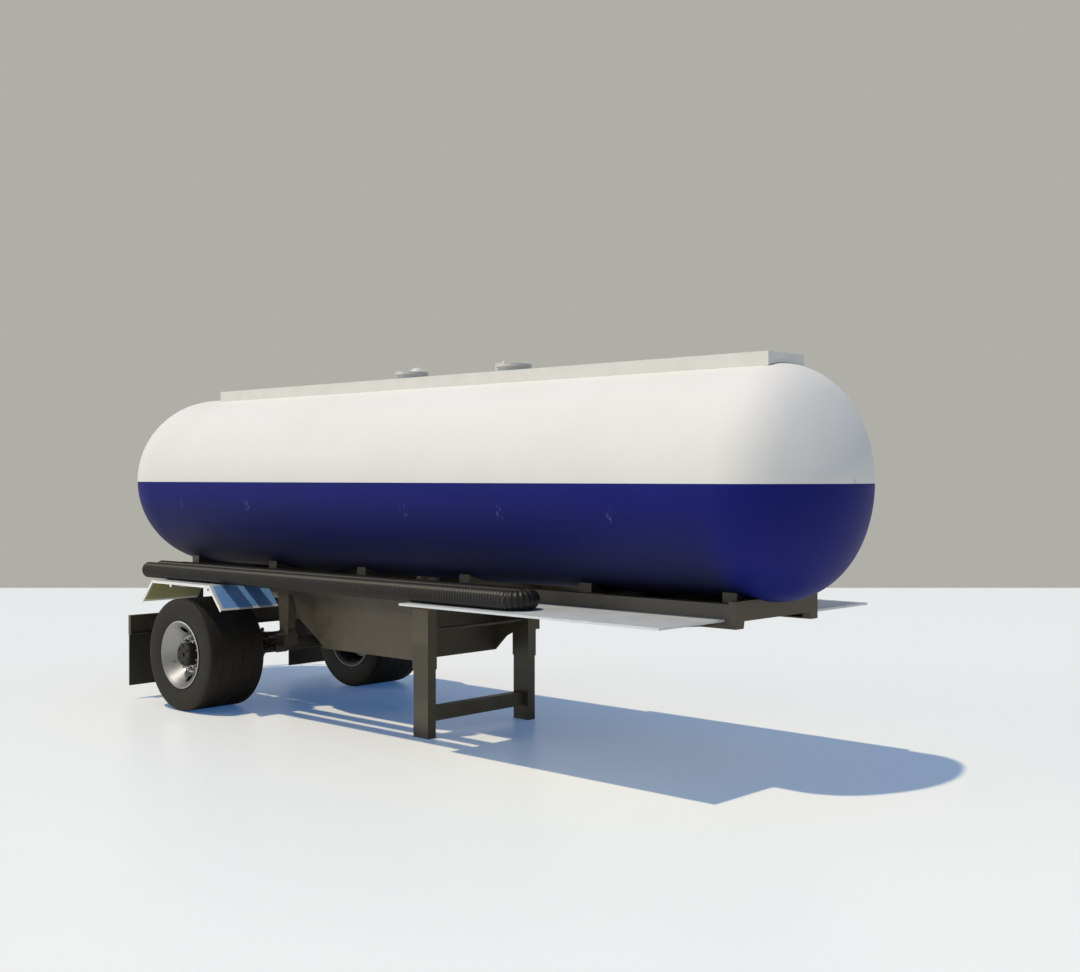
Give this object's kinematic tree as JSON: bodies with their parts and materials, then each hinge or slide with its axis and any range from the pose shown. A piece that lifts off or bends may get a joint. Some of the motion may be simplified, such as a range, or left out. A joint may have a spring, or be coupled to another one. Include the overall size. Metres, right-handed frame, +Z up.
{
  "type": "single-axle tank semi-trailer",
  "caption": "Round tank semi-trailer on a short frame with one axle, leaf springs, landing legs, sheet fenders, side decks, folded ribbed hoses and hinged filling lids.",
  "frame": {"origin": "on the ground, below the middle of the tank", "axes": "+X forward towards the kingpin end, +Y to the left, +Z up"},
  "size_m": [8.3541, 2.6, 3.1523],
  "materials": {
    "tank_paint": "gloss white above, deep blue below",
    "frame_paint": "dusty brown-black",
    "aluminium": "polished sheet",
    "steel": "plain steel",
    "cast_iron": "dark casting",
    "tyre_rubber": "dusty",
    "black_rubber": "satin",
    "lamp_red": "clear red"
  },
  "bodies": {
    "chassis": {"air_reservoir": "steel", "axle": "frame_paint", "axle_clamps": "frame_paint", "brake_cams": "frame_paint", "brake_chambers": "frame_paint", "coupler_plate": "frame_paint", "deck_brackets": "frame_paint", "deck_left": "aluminium", "deck_right": "aluminium", "fender_arms": "aluminium", "fender_left": "aluminium", "fender_right": "aluminium", "front_beam": "frame_paint", "hose_left": "black_rubber", "hose_right": "black_rubber", "kingpin": "steel", "leaf_springs": "frame_paint", "leg_brace": "frame_paint", "leg_brackets": "frame_paint", "leg_crank": "frame_paint", "leg_cross_shaft": "frame_paint", "leg_gearbox": "frame_paint", "leg_slides": "frame_paint", "leg_tubes": "frame_paint", "manhole_neck_front": "aluminium", "manhole_neck_rear": "aluminium", "mud_flaps": "black_rubber", "outlet_pipe": "steel", "outlet_valve": "steel", "pipe_straps": "frame_paint", "radius_rods": "frame_paint", "rail_left": "frame_paint", "rail_right": "frame_paint", "rear_bar": "frame_paint", "rear_ladder": "steel", "reservoir_hanger": "frame_paint", "spill_box": "tank_paint", "spring_hangers": "frame_paint", "subframe_panels": "frame_paint", "subframe_plate_left": "frame_paint", "subframe_plate_right": "frame_paint", "tail_lamps": "lamp_red", "tank_barrel": "tank_paint", "tank_cradles": "frame_paint", "tank_front_head": "tank_paint", "tank_rear_head": "tank_paint", "walkway": "aluminium"},
    "wheel_right": {"tyre_right": "tyre_rubber", "rim_right": "aluminium", "hub_right": "cast_iron", "drum_right": "cast_iron"},
    "wheel_left": {"tyre_left": "tyre_rubber", "rim_left": "aluminium", "hub_left": "cast_iron", "drum_left": "cast_iron"},
    "lid_front": {"manhole_lid_front": "aluminium"},
    "lid_rear": {"manhole_lid_rear": "aluminium"}
  },
  "joints": [
    {"name": "wheel_right_spin", "type": "hinge", "parent": "chassis", "child": "wheel_right", "pos_m": [-2.08, -1.005, 0.5207], "axis": [0, 1, 0], "continuous": true},
    {"name": "wheel_left_spin", "type": "hinge", "parent": "chassis", "child": "wheel_left", "pos_m": [-2.08, 1.005, 0.5207], "axis": [0, 1, 0], "continuous": true},
    {"name": "lid_front_hinge", "type": "hinge", "parent": "chassis", "child": "lid_front", "pos_m": [0.796, 0, 3.118], "axis": [0, -1, 0], "range_deg": [0, 110]},
    {"name": "lid_rear_hinge", "type": "hinge", "parent": "chassis", "child": "lid_rear", "pos_m": [-0.488, 0, 3.118], "axis": [0, -1, 0], "range_deg": [0, 110]}
  ]
}
